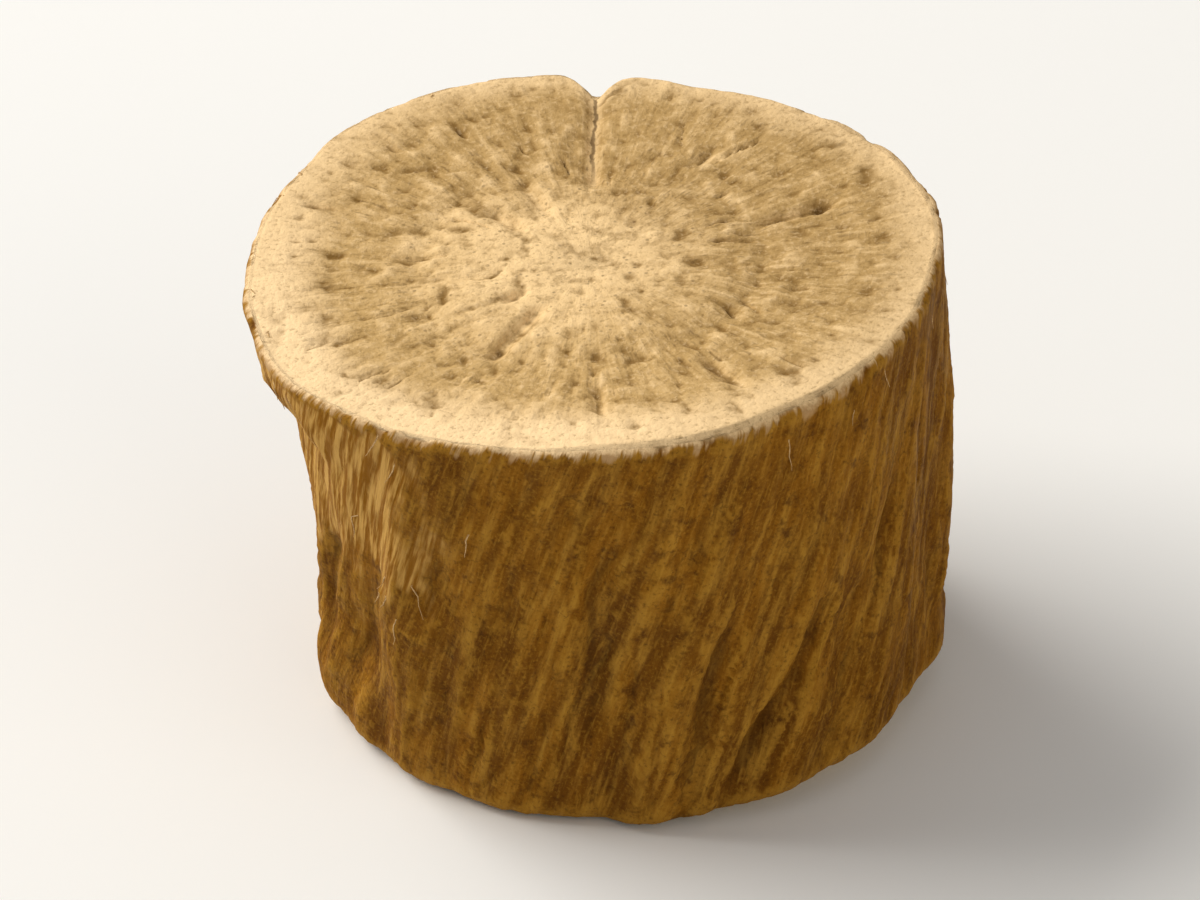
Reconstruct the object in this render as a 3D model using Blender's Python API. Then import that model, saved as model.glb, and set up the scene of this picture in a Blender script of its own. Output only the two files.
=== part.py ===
"""A short chop of dried astragalus root that stands on its lower cut face.

Metres, +Z up, with the front of the piece towards -Y. The origin is at the middle of the
bounding box, on the ground. A place on the root is given by its bearing round the axis,
its radius as a share of the outline and its height as a share of the whole.
"""

import math
import random

import bmesh
import bpy
import numpy as np

NAME = "astragalus_root"

# Whole piece
FACE_RADIUS = 0.00515  # mean radius of the upper cut face
BASE_RADIUS = 0.00460  # mean radius of the lower cut face
HEIGHT = 0.00735  # between the middles of the two cut faces
BASE_SHIFT = 0.00065  # the lower cut face lies this far to +X of the upper one
FACE_RISE = 0.06  # the upper cut is slightly oblique and rises towards +X
BARK_FROM = 0.75  # share of the radius outside which the bark's relief comes in
BELLY = 0.00006  # the bark swells this much at mid height
LOBES = (  # out-of-round outline: lobes round the axis, share of the radius, bearing
    (2, 0.025, math.radians(-18)),
    (3, 0.015, math.radians(0)),
    (4, 0.019, math.radians(28)),
)

# Edges between bark and cut faces
UPPER_EDGE = 0.00016  # rounding of the upper edge, which the cut left fairly sharp
LOWER_EDGE = 0.00035  # rounding of the lower edge
WORN_CORNER = 0.00045  # extra lift of the lower edge where it is worn
WORN_BEARING = math.radians(-25)
WORN_SPREAD = math.radians(80)  # how far the wear runs out to each side
WORN_FROM = 0.72  # share of the radius outside which the base is worn
WORN_UP_TO = 0.35  # height share at which the wear has run out

# Mesh fineness: rings lie close together where the cut faces have relief
DIVISIONS = 140
BASE_RINGS = (0.09, 0.24, 0.38, 0.46, 0.50, 0.54, 0.68, 0.76, 0.84, 1.0)
FACE_RINGS = (0.08, 0.15, 0.26, 0.38, 0.455, 0.50, 0.545, 0.62, 0.71, 0.80, 0.86, 0.92, 1.0)
EDGE_STEPS = 2
WALL_STEPS = 14
MERGE = 1e-7
SMOOTH_UP_TO = math.radians(35)

# Furrows of the dried bark, each drawn between a least and a greatest value
FURROW_SEED = 19
FURROWS = 30
FURROW_HALF_WIDTH = (0.00018, 0.00040)
FURROW_DEPTH = (0.00006, 0.00024)
FURROW_SPAN = (0.30, 1.2)  # as a share of the height
FURROW_ENDS = (-0.15, 1.05)  # height shares between which the furrows lie
FURROW_TWIST = (0.22, 0.78)  # radians that a furrow turns from the base to the face
FURROW_SWAY = (0.01, 0.05)  # radians that it sways to each side on its way
SWAY_TURNS = 7.0
FADE = 0.16  # share of the height over which a furrow runs out
SCATTER = (0.1, 0.9)  # where furrows and fissures lie within their share of the turn
RIM_CALM = 0.25  # share of the bark's relief that is left at the upper edge
RIM_CALM_FROM = 0.6
BASE_CALM = 0.55  # share of it that is left at the lower edge
BASE_CALM_FROM = 0.3

# Broad waves between the furrows: waves round the axis, height, phase, turn
WAVES = (
    (9, 0.00007, 0.4, 0.20),
    (14, 0.00006, 2.1, 0.26),
    (23, 0.00003, 4.0, 0.14),
)

# Shallow bite below the rim where a scale of bark has come off
PEEL_BEARING = math.radians(192)
PEEL_SPREAD = math.radians(34)
PEEL_DEPTH = 0.00036
PEEL_SPAN = (0.10, 0.93)  # lowest and highest height share
PEEL_FADE = (0.25, 0.06)  # share of the height over which it runs out below and above

# Low places of the lower cut, which warped in drying: bearing, share of the radius
FEET = (
    (math.radians(64), 0.708),
    (math.radians(139), 0.708),
    (math.radians(221), 0.708),
    (math.radians(314), 0.634),
)
FOOT_FLAT = 0.0004  # each is flat this far from its middle
FOOT_SPREAD = 0.0014  # this far from it the cut has its full warp
WARP = 0.0001

# Relief of the cut faces, downwards from the rim
SUNK = 0.00008  # the dried inner bark lies this far below the rim
RIM_SHARE = 0.92
RIM_SLOPE = 0.30
RING_SHARE = 0.50  # ring between inner bark and wood
RING_DEPTH = 0.00004
RING_WIDTH = 0.04
CORE_RISE = 0.00004  # the wood stands up again inside the ring
CORE_SLOPE = 0.14
PITH_SHARE = 0.09
PITH_DEPTH = 0.00005
RAYS = 35  # low ridges that run outwards through the inner bark
RAY_DEPTH = 0.000016
RAY_WANDER = 2.2  # radians of phase by which the rays come closer together and drift apart
RAYS_FROM = 0.6  # share of the radius where the rays have their full height
SWELLS = ((2, 0.00004, 0.6), (3, 0.00004, 1.57))  # lobes of the uneven upper face, height, phase

# Dry fissures that run out from the wood
FISSURE_SEED = 5
FISSURES = 11
FISSURE_DEPTH = (0.00004, 0.00012)
FISSURE_HALF_WIDTH = 0.00012
FISSURE_START = (0.12, 0.60)
FISSURE_LENGTH = (0.15, 0.34)
FISSURE_FADE = 0.08

# The one crack that reaches the rim of the upper face and notches it
CRACK_BEARING = math.radians(88.5)
CRACK_START = 0.34
CRACK_FADE = 0.12
CRACK_DEPTH = 0.00012
CRACK_HALF_WIDTH = 0.00015
NOTCH_DEPTH = 0.00055  # how far the outline is drawn in at the rim
NOTCH_HALF_WIDTH = 0.00034
NOTCH_SPAN = 0.55  # share of the height down which the notch runs out

# Finish
COLOUR = (0.47, 0.29, 0.115, 1.0)
ROUGHNESS = 0.85


def clear_scene():
    for thing in list(bpy.data.objects):
        bpy.data.objects.remove(thing, do_unlink=True)


def smooth_step(low, high, value):
    share = np.clip((value - low) / (high - low), 0.0, 1.0)
    return share * share * (3.0 - 2.0 * share)


def bump(distance, half_width):
    """1 in the middle and next to nothing two half widths away."""
    return np.exp(-((distance / half_width) ** 2))


def turn_between(bearing, other):
    """The shortest signed turn from one bearing to another."""
    return (bearing - other + math.pi) % (2.0 * math.pi) - math.pi


def profile():
    """Half section from the middle of the base round to the middle of the face, as pairs of
    radius and height on a plain drum of the mean radius."""
    flat, low, high = FACE_RADIUS - LOWER_EDGE, LOWER_EDGE, HEIGHT - UPPER_EDGE
    points = [(0.0, 0.0)]
    points += [(flat * share, 0.0) for share in BASE_RINGS]
    for step in range(1, EDGE_STEPS + 1):
        turn = math.pi / 2 * step / EDGE_STEPS
        points.append((flat + LOWER_EDGE * math.sin(turn), LOWER_EDGE * (1 - math.cos(turn))))
    for step in range(1, WALL_STEPS + 1):
        points.append((FACE_RADIUS, low + (high - low) * step / WALL_STEPS))
    flat = FACE_RADIUS - UPPER_EDGE
    points += [(flat * share, HEIGHT) for share in reversed(FACE_RINGS)]
    points.append((0.0, HEIGHT))
    return points


def spin_drum():
    """The plain drum, turned from its half section."""
    shape = bmesh.new()
    verts = [shape.verts.new((radius, 0.0, height)) for radius, height in profile()]
    edges = [shape.edges.new(pair) for pair in zip(verts, verts[1:])]
    bmesh.ops.spin(
        shape,
        geom=verts + edges,
        cent=(0, 0, 0),
        axis=(0, 0, 1),
        angle=2.0 * math.pi,
        steps=DIVISIONS,
    )
    bmesh.ops.remove_doubles(shape, verts=shape.verts, dist=MERGE)
    bmesh.ops.recalc_face_normals(shape, faces=shape.faces)
    return shape


def outline(bearing):
    """Radius of the out-of-round root as a share of its mean."""
    share = np.ones_like(bearing)
    for count, size, where in LOBES:
        share += size * np.cos(count * (bearing - where))
    return share


def calm_ends(height):
    """Share of the bark's relief that is left at a height share."""
    top = 1.0 - (1.0 - RIM_CALM) * smooth_step(RIM_CALM_FROM, 1.0, height)
    return top * (1.0 - (1.0 - BASE_CALM) * smooth_step(BASE_CALM_FROM, 0.0, height))


def bark_relief(bearing, height):
    """How far the bark stands out from the plain outline, at a height share."""
    out = BELLY * np.sin(math.pi * np.clip(height, 0.0, 1.0))
    calm = calm_ends(height)
    for count, size, phase, turn in WAVES:
        out += size * np.cos(count * (bearing - turn * height) + phase) * calm
    draw = random.Random(FURROW_SEED)
    for furrow in range(FURROWS):
        where = 2.0 * math.pi * (furrow + draw.uniform(*SCATTER)) / FURROWS
        half_width = draw.uniform(*FURROW_HALF_WIDTH)
        depth = draw.uniform(*FURROW_DEPTH)
        span = draw.uniform(*FURROW_SPAN)
        low = draw.uniform(FURROW_ENDS[0], FURROW_ENDS[1] - span)
        path = where + draw.uniform(*FURROW_TWIST) * (height - 0.5)
        sway = draw.uniform(*FURROW_SWAY)
        path += sway * np.sin(SWAY_TURNS * height + draw.uniform(0.0, 2.0 * math.pi))
        away = turn_between(bearing, path) * FACE_RADIUS
        ends = smooth_step(low, low + FADE, height) * smooth_step(low + span, low + span - FADE, height)
        out -= depth * bump(away, half_width) * ends * calm
    away = turn_between(bearing, CRACK_BEARING) * FACE_RADIUS
    out -= NOTCH_DEPTH * bump(away, NOTCH_HALF_WIDTH) * smooth_step(1.0 - NOTCH_SPAN, 1.0, height)
    return out - PEEL_DEPTH * peel(bearing, height)


def peel(bearing, height):
    """1 where the scale of bark is missing, 0 where the bark is whole."""
    (low, high), (fade_low, fade_high) = PEEL_SPAN, PEEL_FADE
    side = smooth_step(PEEL_SPREAD, PEEL_SPREAD / 2.0, np.abs(turn_between(bearing, PEEL_BEARING)))
    return side * smooth_step(low, low + fade_low, height) * smooth_step(high, high - fade_high, height)


def cut_relief(bearing, share, seed):
    """How far a cut face lies below its rim."""
    inside = 1.0 - smooth_step(RIM_SHARE - RIM_SLOPE, RIM_SHARE, share)
    wood = 1.0 - smooth_step(RING_SHARE - CORE_SLOPE, RING_SHARE, share)
    down = SUNK * inside - CORE_RISE * wood
    down += RING_DEPTH * bump(share - RING_SHARE, RING_WIDTH)
    down += PITH_DEPTH * bump(share, PITH_SHARE)
    phase = RAYS * bearing + RAY_WANDER * np.sin(3.0 * bearing + seed)
    down += RAY_DEPTH * np.cos(phase) * smooth_step(RING_SHARE, RAYS_FROM, share) * inside
    draw = random.Random(seed)
    for fissure in range(FISSURES):
        where = 2.0 * math.pi * (fissure + draw.uniform(*SCATTER)) / FISSURES
        start = draw.uniform(*FISSURE_START)
        end = start + draw.uniform(*FISSURE_LENGTH)
        depth = draw.uniform(*FISSURE_DEPTH)
        away = turn_between(bearing, where) * share * FACE_RADIUS
        ends = smooth_step(start, start + FISSURE_FADE, share) * smooth_step(end, end - FISSURE_FADE, share)
        down += depth * bump(away, FISSURE_HALF_WIDTH) * ends
    return down


def crack_relief(bearing, share):
    """Depth of the one crack that runs to the rim."""
    away = turn_between(bearing, CRACK_BEARING) * share * FACE_RADIUS
    start = smooth_step(CRACK_START, CRACK_START + CRACK_FADE, share)
    return CRACK_DEPTH * bump(away, CRACK_HALF_WIDTH) * start


def warp(bearing, share):
    """How far the lower cut has drawn up from the ground between its low places."""
    x, y = share * np.cos(bearing), share * np.sin(bearing)
    low = np.zeros_like(bearing)
    for where, out in FEET:
        away = np.hypot(x - out * math.cos(where), y - out * math.sin(where)) * BASE_RADIUS
        low = np.maximum(low, smooth_step(FOOT_SPREAD, FOOT_FLAT, away))
    return WARP * (1.0 - low)


def shape_root(points):
    """Moves the points of the plain drum to their places on the root."""
    x, y, z = points.T
    plain_radius = np.hypot(x, y)
    bearing = np.arctan2(y, x)
    share = plain_radius / FACE_RADIUS
    height = z / HEIGHT

    mean = BASE_RADIUS + (FACE_RADIUS - BASE_RADIUS) * height
    outer = smooth_step(BARK_FROM, 1.0, share)
    radius = share * mean * outline(bearing) + outer * bark_relief(bearing, height)
    shift = BASE_SHIFT * (1.0 - height)
    placed_x = radius * np.cos(bearing) + shift
    placed_y = radius * np.sin(bearing)

    # The rise of the oblique cut is spread over the height, and is nothing at the base.
    placed_z = z + height * FACE_RISE * radius * np.cos(bearing)
    on_face = height > 1.0 - 1e-6
    relief = cut_relief(bearing, share, FISSURE_SEED) + crack_relief(bearing, share)
    for count, size, phase in SWELLS:
        relief += size * share * np.sin(count * bearing + phase)
    placed_z -= np.where(on_face, relief, 0.0)

    # The base stands on its low places, and its ring, pith, fissures and worn corner are hollow.
    on_base = height < 1e-6
    hollow = np.maximum(cut_relief(bearing, share, FISSURE_SEED + 1) - SUNK - RAY_DEPTH, 0.0)
    worn = smooth_step(WORN_SPREAD, 0.0, np.abs(turn_between(bearing, WORN_BEARING)))
    placed_z += np.where(on_base, hollow + warp(bearing, share), 0.0)
    outer = smooth_step(WORN_FROM, 1.0, share)
    placed_z += WORN_CORNER * worn * outer * smooth_step(WORN_UP_TO, 0.0, height)
    return np.column_stack((placed_x, placed_y, placed_z))


def centred(points):
    """Puts the origin at the middle of the bounding box, on the ground."""
    low, high = points.min(axis=0), points.max(axis=0)
    middle = (low + high) / 2.0
    middle[2] = low[2]
    return points - middle


def root_material():
    material = bpy.data.materials.new(NAME)
    material.use_nodes = True
    shader = material.node_tree.nodes["Principled BSDF"]
    shader.inputs["Base Color"].default_value = COLOUR
    shader.inputs["Roughness"].default_value = ROUGHNESS
    shader.inputs["Metallic"].default_value = 0.0
    return material


def astragalus_root():
    shape = spin_drum()
    mesh = bpy.data.meshes.new(NAME)
    shape.to_mesh(mesh)
    shape.free()
    points = np.empty(3 * len(mesh.vertices))
    mesh.vertices.foreach_get("co", points)
    placed = centred(shape_root(points.reshape(-1, 3)))
    mesh.vertices.foreach_set("co", placed.ravel())
    mesh.materials.append(root_material())
    mesh.shade_smooth()
    mesh.set_sharp_from_angle(angle=SMOOTH_UP_TO)
    mesh.update()
    root = bpy.data.objects.new(NAME, mesh)
    bpy.context.scene.collection.objects.link(root)


clear_scene()
astragalus_root()
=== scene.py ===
"""Looks of one short chop of dried astragalus root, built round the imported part.

Metres, +Z up, the front towards -Y. A place on the root is given by its bearing round the
axis, its radius as a share of the outline and its height as a share of the whole.
"""

import math
import random

import bpy
import numpy as np
from bpy.props import FloatProperty, FloatVectorProperty, IntProperty, PointerProperty
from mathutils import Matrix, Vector
from mathutils.bvhtree import BVHTree


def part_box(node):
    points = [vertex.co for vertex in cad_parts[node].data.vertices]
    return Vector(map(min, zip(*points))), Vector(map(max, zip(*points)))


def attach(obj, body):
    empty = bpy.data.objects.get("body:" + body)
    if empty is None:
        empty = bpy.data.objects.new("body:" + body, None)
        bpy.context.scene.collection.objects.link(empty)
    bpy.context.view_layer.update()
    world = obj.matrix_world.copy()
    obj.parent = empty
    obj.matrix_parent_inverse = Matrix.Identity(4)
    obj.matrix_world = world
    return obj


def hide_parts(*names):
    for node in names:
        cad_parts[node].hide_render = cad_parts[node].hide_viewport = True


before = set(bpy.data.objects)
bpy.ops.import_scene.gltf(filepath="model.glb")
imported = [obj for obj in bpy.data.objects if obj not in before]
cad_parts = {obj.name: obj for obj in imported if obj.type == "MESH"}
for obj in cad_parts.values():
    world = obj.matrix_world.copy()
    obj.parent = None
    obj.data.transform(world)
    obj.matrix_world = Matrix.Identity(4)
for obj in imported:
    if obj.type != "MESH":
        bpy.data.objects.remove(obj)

bl_info = {
    "name": "Astragalus root chop",
    "version": (1, 0, 0),
    "blender": (4, 5, 0),
    "location": "3D View > Sidebar > Root chop",
    "description": "A short chop of dried astragalus root on a plain studio floor",
    "category": "Add Mesh",
}

NODE = "astragalus_root"
BODY = "root"
CHOP = "root_chop"
CAD_LOW, CAD_HIGH = (np.array(corner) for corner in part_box(NODE))
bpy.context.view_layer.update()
MM = 0.001

# Form of the root, as in the solid
LOBES = (  # lobes round the axis, share of the radius, bearing
    (2, 0.025, math.radians(-18)),
    (3, 0.015, math.radians(0)),
    (4, 0.019, math.radians(28)),
)
BARK_FROM = 0.75
WORN_BEARING = math.radians(-25)
WORN_SPREAD = math.radians(80)
WORN_FROM = 0.72
WORN_UP_TO = 0.35
SCATTER = (0.1, 0.9)
ANY = (0.0, 1.0)
TWIST = (0.22, 0.78)
FURROWS = (19, 30, SCATTER, (  # seed, number, scatter, then the limits of the values
    (0.00018, 0.00040), (0.00006, 0.00024), (0.30, 1.2), ANY,  # half width, depth, span, low end
    TWIST, (0.01, 0.05), (0.0, 2.0 * math.pi),  # twist, sway, phase
))
FURROW_ENDS = (-0.15, 1.05)
SWAY_TURNS = 7.0
FADE = 0.16
RIM_CALM = 0.25
RIM_CALM_FROM = 0.6
BASE_CALM = 0.55
BASE_CALM_FROM = 0.3
WAVES = (  # waves round the axis, height, phase, turn
    (9, 0.00007, 0.4, 0.20),
    (14, 0.00006, 2.1, 0.26),
    (23, 0.00003, 4.0, 0.14),
)
PEEL_BEARING = math.radians(192)
PEEL_SPREAD = math.radians(34)
PEEL_DEPTH = 0.00036
PEEL_SPAN = (0.10, 0.93)
PEEL_FADE = (0.25, 0.13)
PEEL_RAG = 0.035  # unevenness of the bite's upper lip, as a share of the height
PEEL_TEETH = (13.0, 29.9)  # its two ripples, in radians of wave for each radian of bearing
FEET = (  # low places of the warped lower cut, bearing, share of the radius
    (math.radians(64), 0.708),
    (math.radians(139), 0.708),
    (math.radians(221), 0.708),
    (math.radians(314), 0.634),
)
FOOT_FLAT = 0.0004
FOOT_SPREAD = 0.0014
WARP = 0.0001
SUNK = 0.00008
RIM_SHARE = 0.92
RIM_SLOPE = 0.30
RING_SHARE = 0.50
RING_DEPTH = 0.00004
RING_WIDTH = 0.04
CORE_RISE = 0.00004
CORE_SLOPE = 0.14
PITH_SHARE = 0.09
PITH_DEPTH = 0.00005
RAYS = 35
RAY_DEPTH = 0.000006
RAY_WANDER = 2.2
RAYS_FROM = 0.6
SWELLS = ((2, 0.00004, 0.6), (3, 0.00004, 1.57))
FISSURE_SEED = 5
FISSURES = (11, SCATTER, ((0.12, 0.60), (0.15, 0.34), (0.00004, 0.00012)))  # start, length, depth
FISSURE_HALF_WIDTH = 0.00012
FISSURE_FADE = 0.08
CRACK_BEARING = math.radians(88.5)
CRACK_START = 0.34
CRACK_FADE = 0.12
CRACK_DEPTH = 0.00012
CRACK_HALF_WIDTH = 0.00015
NOTCH_DEPTH = 0.00055
NOTCH_HALF_WIDTH = 0.00034
NOTCH_SPAN = 0.55

# Mesh of the dressed root
POLE_SHARE = 0.035  # first ring round each pole, as a share of the radius
LOWER_ARC = 7
UPPER_ARC = 5
MERGE = 1e-6
ON_CUT = 1e-6  # share of the height within which a point lies on a cut face

# Flat map of the surface
STRIP_CORNER = (0.02, 0.03)
STRIP_SIZE = (0.95, 0.44)
DISC_RADIUS = 0.23
DISC_MIDDLES = ((0.25, 0.75), (0.75, 0.75))  # upper and lower cut

# Lattice noise
SLOPES = np.random.default_rng(3).normal(size=(4096, 3))
SLOPES /= np.linalg.norm(SLOPES, axis=1)[:, None]
STRIDES = np.array((73856093, 19349663, 83492791))
GRAIN_SEED = 29
CORK_SEED = 41
SWAY_SEED = 57
BARE_SEED = 61
BARE_FIBRE_SEED = 63
CHIP_SEED = 64
CRACK_SEED = 65
CUT_SEEDS = 20  # steps from one cut face's seeds to the other's
STREAK_SEED = 100
BROAD_SEED = 108
KNIFE_SEED = 109
SPLIT_SWAY_SEED = 110
WARP_SEED = 111
CLUMP_SEED = 113
SEED_STRIDE = 9176
DRIFT_GAIN = 1.6

# Finer relief of the bark: width, length along the grain, height of each octave of ridges
BARK_TURN = 0.55  # radians that the grain turns from the base to the face
BARK_RIDGES = (
    (1.00 * MM, 3.8 * MM, 0.042 * MM),
    (0.48 * MM, 2.1 * MM, 0.032 * MM),
    (0.22 * MM, 1.0 * MM, 0.015 * MM),
)
BARK_GRAIN = (0.11 * MM, 0.24 * MM, 0.010 * MM)
RIDGE_EDGE = 0.50  # noise height at which a ridge has its full height
BARK_SWAY = (1.9 * MM, 0.30 * MM)  # size and reach of the sideways drift of the grain
TOP_CALM = 0.6  # share of the finer relief that is gone at the cut edges
TOP_CALM_SPAN = (0.86, 1.0)
FOOT_CALM = 0.5
FOOT_CALM_SPAN = (0.10, 0.0)
CORK_SIZE = (0.85 * MM, 1.7 * MM)
CORK_RAGS = (0.28 * MM, 0.4)  # size and weight
CORK_EDGE = (0.04, 0.14)
CORK_HEIGHT = 0.020 * MM
WRINKLES = (71, 70, ANY, (  # half width, depth, span, low end, twist
    (0.00004, 0.00009), (0.00002, 0.00006), (0.10, 0.45), ANY, TWIST,
))
WRINKLE_ENDS = (-0.1, 1.1)
WRINKLE_FADE = 0.06
CRACK_SWAY = (0.9 * MM, 0.10 * MM)  # size and reach of the crack's bends
CRACK_CALM = (1.0, 0.9)
CHIP_SIZE = 0.42 * MM  # chips out of the upper edge
CHIP_DEPTH = 0.16 * MM
CHIP_FROM = 0.955
CHIP_EDGE = (0.10, 0.55)
SCAR_SEED = 8
SCARS = 26  # short scars that lie across the grain
SCAR_HALF_LENGTH = (0.00016, 0.00038)
SCAR_HALF_WIDTH = (0.00005, 0.00008)
SCAR_SPAN = (0.08, 0.88)
SCAR_HEIGHT = 0.00004
SCAR_LIP = 1.3  # size of the raised lip and of the slit in it, as shares of the scar
SCAR_SLIT = 0.55
SCAR_SLIT_DEPTH = 1.5

# Finer relief of the cut faces
STREAK = (0.22 * MM, 0.66 * MM)  # width and length of the radial streaks
STREAK_OCTAVES = 5
STREAK_WEIGHT = 0.55
STREAKS_FROM = (0.05, 0.42)
GRAINS = ((0.40 * MM, 0.60), (0.22 * MM, 0.50), (0.12 * MM, 0.35))  # size and weight
GRAIN_WARP = (0.9 * MM, 0.12 * MM)  # size and reach of the drift that bends the grains
SPECKLE_HEIGHT = 0.038 * MM
RIM_SMOOTH = 0.65  # share of the speckle that is gone at the rim and in the core
RIM_SMOOTH_SPAN = (0.86, 0.96)
CORE_SMOOTH = 0.35
CORE_SMOOTH_SPAN = (0.45, 0.15)
PIT_DEPTH = 0.022 * MM
PIT_EDGE = (0.30, 0.85)
BROAD_SIZE = 1.7 * MM
BROAD_HEIGHT = 0.022 * MM
KNIFE_BEARING = math.radians(24)
KNIFE_SIZE = (0.11 * MM, 3.5 * MM, 1.0)
KNIFE_HEIGHT = 0.006 * MM
SPLIT_SEED = 23
SPLITS = (34, ANY, (  # half width, depth, start, length
    (0.00003, 0.00006), (0.00004, 0.00011), (0.30, 0.80), (0.06, 0.20),
))
SPLIT_FADE = 0.04
SPLIT_END = 0.93
SPLIT_SWAY = (1.2 * MM, 0.30 * MM)  # size and reach of the drift that bends the splits

DARKER_SIDE_BEARING = math.radians(50)  # side on which the cut faces are darker
DARKER_SIDE_SPREAD = math.radians(175)
CORE_MIDDLE = (-0.5 * MM, 0.0, 0.0)

# Bared fibrous bark below the rim
BARE_BEARING = math.radians(207)
BARE_SPREAD = math.radians(58)
BARE_FROM = (0.35, 0.75)
BARE_UP_TO = (1.0, 0.93)
BARE_RAGS = (((0.5 * MM, 0.5 * MM, 1.2 * MM), 0.35), (0.25 * MM, 0.10))  # size and weight
BARE_EDGE = (0.36, 0.58)
BARE_FIBRES = (0.13 * MM, 0.13 * MM, 2.2 * MM)
BARE_FIBRE_HEIGHT = 0.030 * MM
BARE_DEPTH = 0.04 * MM
BARE_CALM = 0.7  # share of the bark's relief that is gone there

# Painted shade in hollows and painted highlight on the bark's crests, from how far the surface lies off
# itself smoothed: rounds of smoothing, height
NEAR_PAINTED_LIGHT = (10, 0.022 * MM)
FAR_PAINTED_SHADE = (90, 0.10 * MM)
HOLLOW_LIMIT = 1.5

# Torn fibres
FIBRE_SEED = 41
FIBRE_SIDES = 5
FIBRE_STEPS = 7
FIBRE_REACH = (0.20, 0.60)  # in millimetres, as the next two
FIBRE_THICK = (0.014, 0.026)
FIBRE_LIFT = (0.02, 0.09)
FIBRE_CURL = (-0.25, 0.25)
FIBRE_TAPER = 0.85
FIBRE_SUNK = 0.6  # how deep the fibres lie, as a share of their thickness
FIBRE_SPREAD = (-0.7, 0.7)  # over the bare place
FIBRE_HEIGHT = (0.45, 0.95)
RIM_FIBRE_CLEAR = 0.4  # radians kept clear of the crack
RIM_FIBRE_HEIGHT = (0.93, 1.0)
FIBRE_SLANT = (-0.6, 0.3)

# Studio
FLOOR_SIZE = 1.2
LENS = 400.0
CLIP_END = 10.0
KEY_PLACE = (-0.21, 0.10, 0.19)
KEY_SIZE = 0.26
KEY_TINT = (1.0, 0.93, 0.82)
FILL_PLACE = (0.22, -0.22, 0.10)
FILL_SIZE = 0.30
FILL_TINT = (1.0, 0.84, 0.62)
ROOM_TINT = (1.0, 0.95, 0.88, 1.0)


def length(label, description, default):
    return FloatProperty(
        name=label, description=description, default=default, min=0.0, precision=5,
        subtype="DISTANCE", unit="LENGTH",
    )


def whole_number(label, description, default, least):
    return IntProperty(name=label, description=description, default=default, min=least)


def watts(label, description, default):
    return FloatProperty(
        name=label, description=description, default=default, min=0.0, subtype="POWER", unit="POWER",
    )


def tint(label, description, default):
    return FloatVectorProperty(
        name=label, description=description, default=(*default, 1.0), size=4, min=0.0, max=1.0,
        subtype="COLOR",
    )


class ChopShape(bpy.types.PropertyGroup):
    """Sizes of the root chop."""

    face_radius: length("Face radius", "Mean radius of the upper cut face", 0.00515)
    base_radius: length("Base radius", "Mean radius of the lower cut face", 0.00460)
    height: length("Height", "Between the middles of the two cut faces", 0.00735)
    base_shift: length("Base shift", "How far the lower cut face lies to +X of the upper one", 0.00065)
    face_rise: FloatProperty(
        name="Face rise", description="Slope of the oblique upper cut towards +X", default=0.06,
    )
    belly: length("Belly", "How much the bark swells at mid height", 0.00006)
    upper_edge: length("Upper edge", "Rounding of the upper edge", 0.00016)
    lower_edge: length("Lower edge", "Rounding of the lower edge", 0.00035)
    worn_corner: length("Worn corner", "Extra lift of the lower edge where it is worn", 0.00045)
    divisions: whole_number("Divisions", "Divisions round the root", 448, 64)
    face_rings: whole_number("Face rings", "Rings on the upper cut face", 84, 8)
    base_rings: whole_number("Base rings", "Rings on the lower cut face", 36, 8)
    wall_rings: whole_number("Wall rings", "Rings up the bark", 88, 8)
    fibres: whole_number("Fibres", "Torn fibres on the edges and in the bark's bite", 30, 1)


class ChopColours(bpy.types.PropertyGroup):
    """Colours of the bark and the cut faces."""

    bark_body: tint("Bark", "Gold-brown of the bark", (0.235, 0.094, 0.005))
    # Also the painted highlight on the bark's crests
    bark_crest: tint("Bark crests", "Rubbed tops of the ridges", (0.430, 0.222, 0.026))
    # Also the painted shade in the hollows of the bared bark
    bark_dark: tint("Bark patches", "Darker weathered patches", (0.128, 0.047, 0.003))
    # Also the painted shade in hollows and along the open crack, besides dark specks and mottles
    furrow: tint("Furrows", "Bottoms of furrows and fissures", (0.044, 0.015, 0.0015))
    inner_bark: tint("Bared bark", "Fibrous bark where a scale has come off", (0.540, 0.310, 0.080))
    cut_rim: tint("Rim", "Pale band inside the bark", (0.980, 0.745, 0.450))
    cut_inner: tint("Inner bark", "Tan zone between rim and core", (0.570, 0.385, 0.165))
    # Also the painted shade in the cut's near hollows and on its darker side
    cut_shade: tint("Cut speckles", "Darker specks and streaks of the cut", (0.230, 0.130, 0.036))
    # Also the painted highlight along the crack
    cut_core: tint("Core", "Palest middle of the wood", (0.900, 0.660, 0.360))
    fibre: tint("Fibres", "Loose torn fibres", (0.74, 0.52, 0.25))


class StudioSettings(bpy.types.PropertyGroup):
    """Floor, camera and lights."""

    floor_colour: tint("Floor", "Plain pale floor", (0.885, 0.925, 0.98))
    camera_height: FloatProperty(
        name="Camera elevation", description="Angle of the view above the horizon",
        default=math.radians(35.5), subtype="ANGLE", unit="ROTATION",
    )
    view_width: length("View width", "Width of what the camera sees at the root", 0.0180)
    key_power: watts("Key light", "Power of the warm light from the left and behind", 1.12)
    fill_power: watts("Fill light", "Power of the broad light from the front", 0.28)
    room_light: FloatProperty(
        name="Room light", description="Strength of the even light of the room", default=0.36, min=0.0,
    )


def smooth_step(low, high, value):
    share = np.clip((value - low) / (high - low), 0.0, 1.0)
    return share * share * (3.0 - 2.0 * share)


def within(low, high, fade, value):
    """1 between two values and 0 outside them, with a soft fade at both ends."""
    return smooth_step(low, low + fade, value) * smooth_step(high, high - fade, value)


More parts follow.
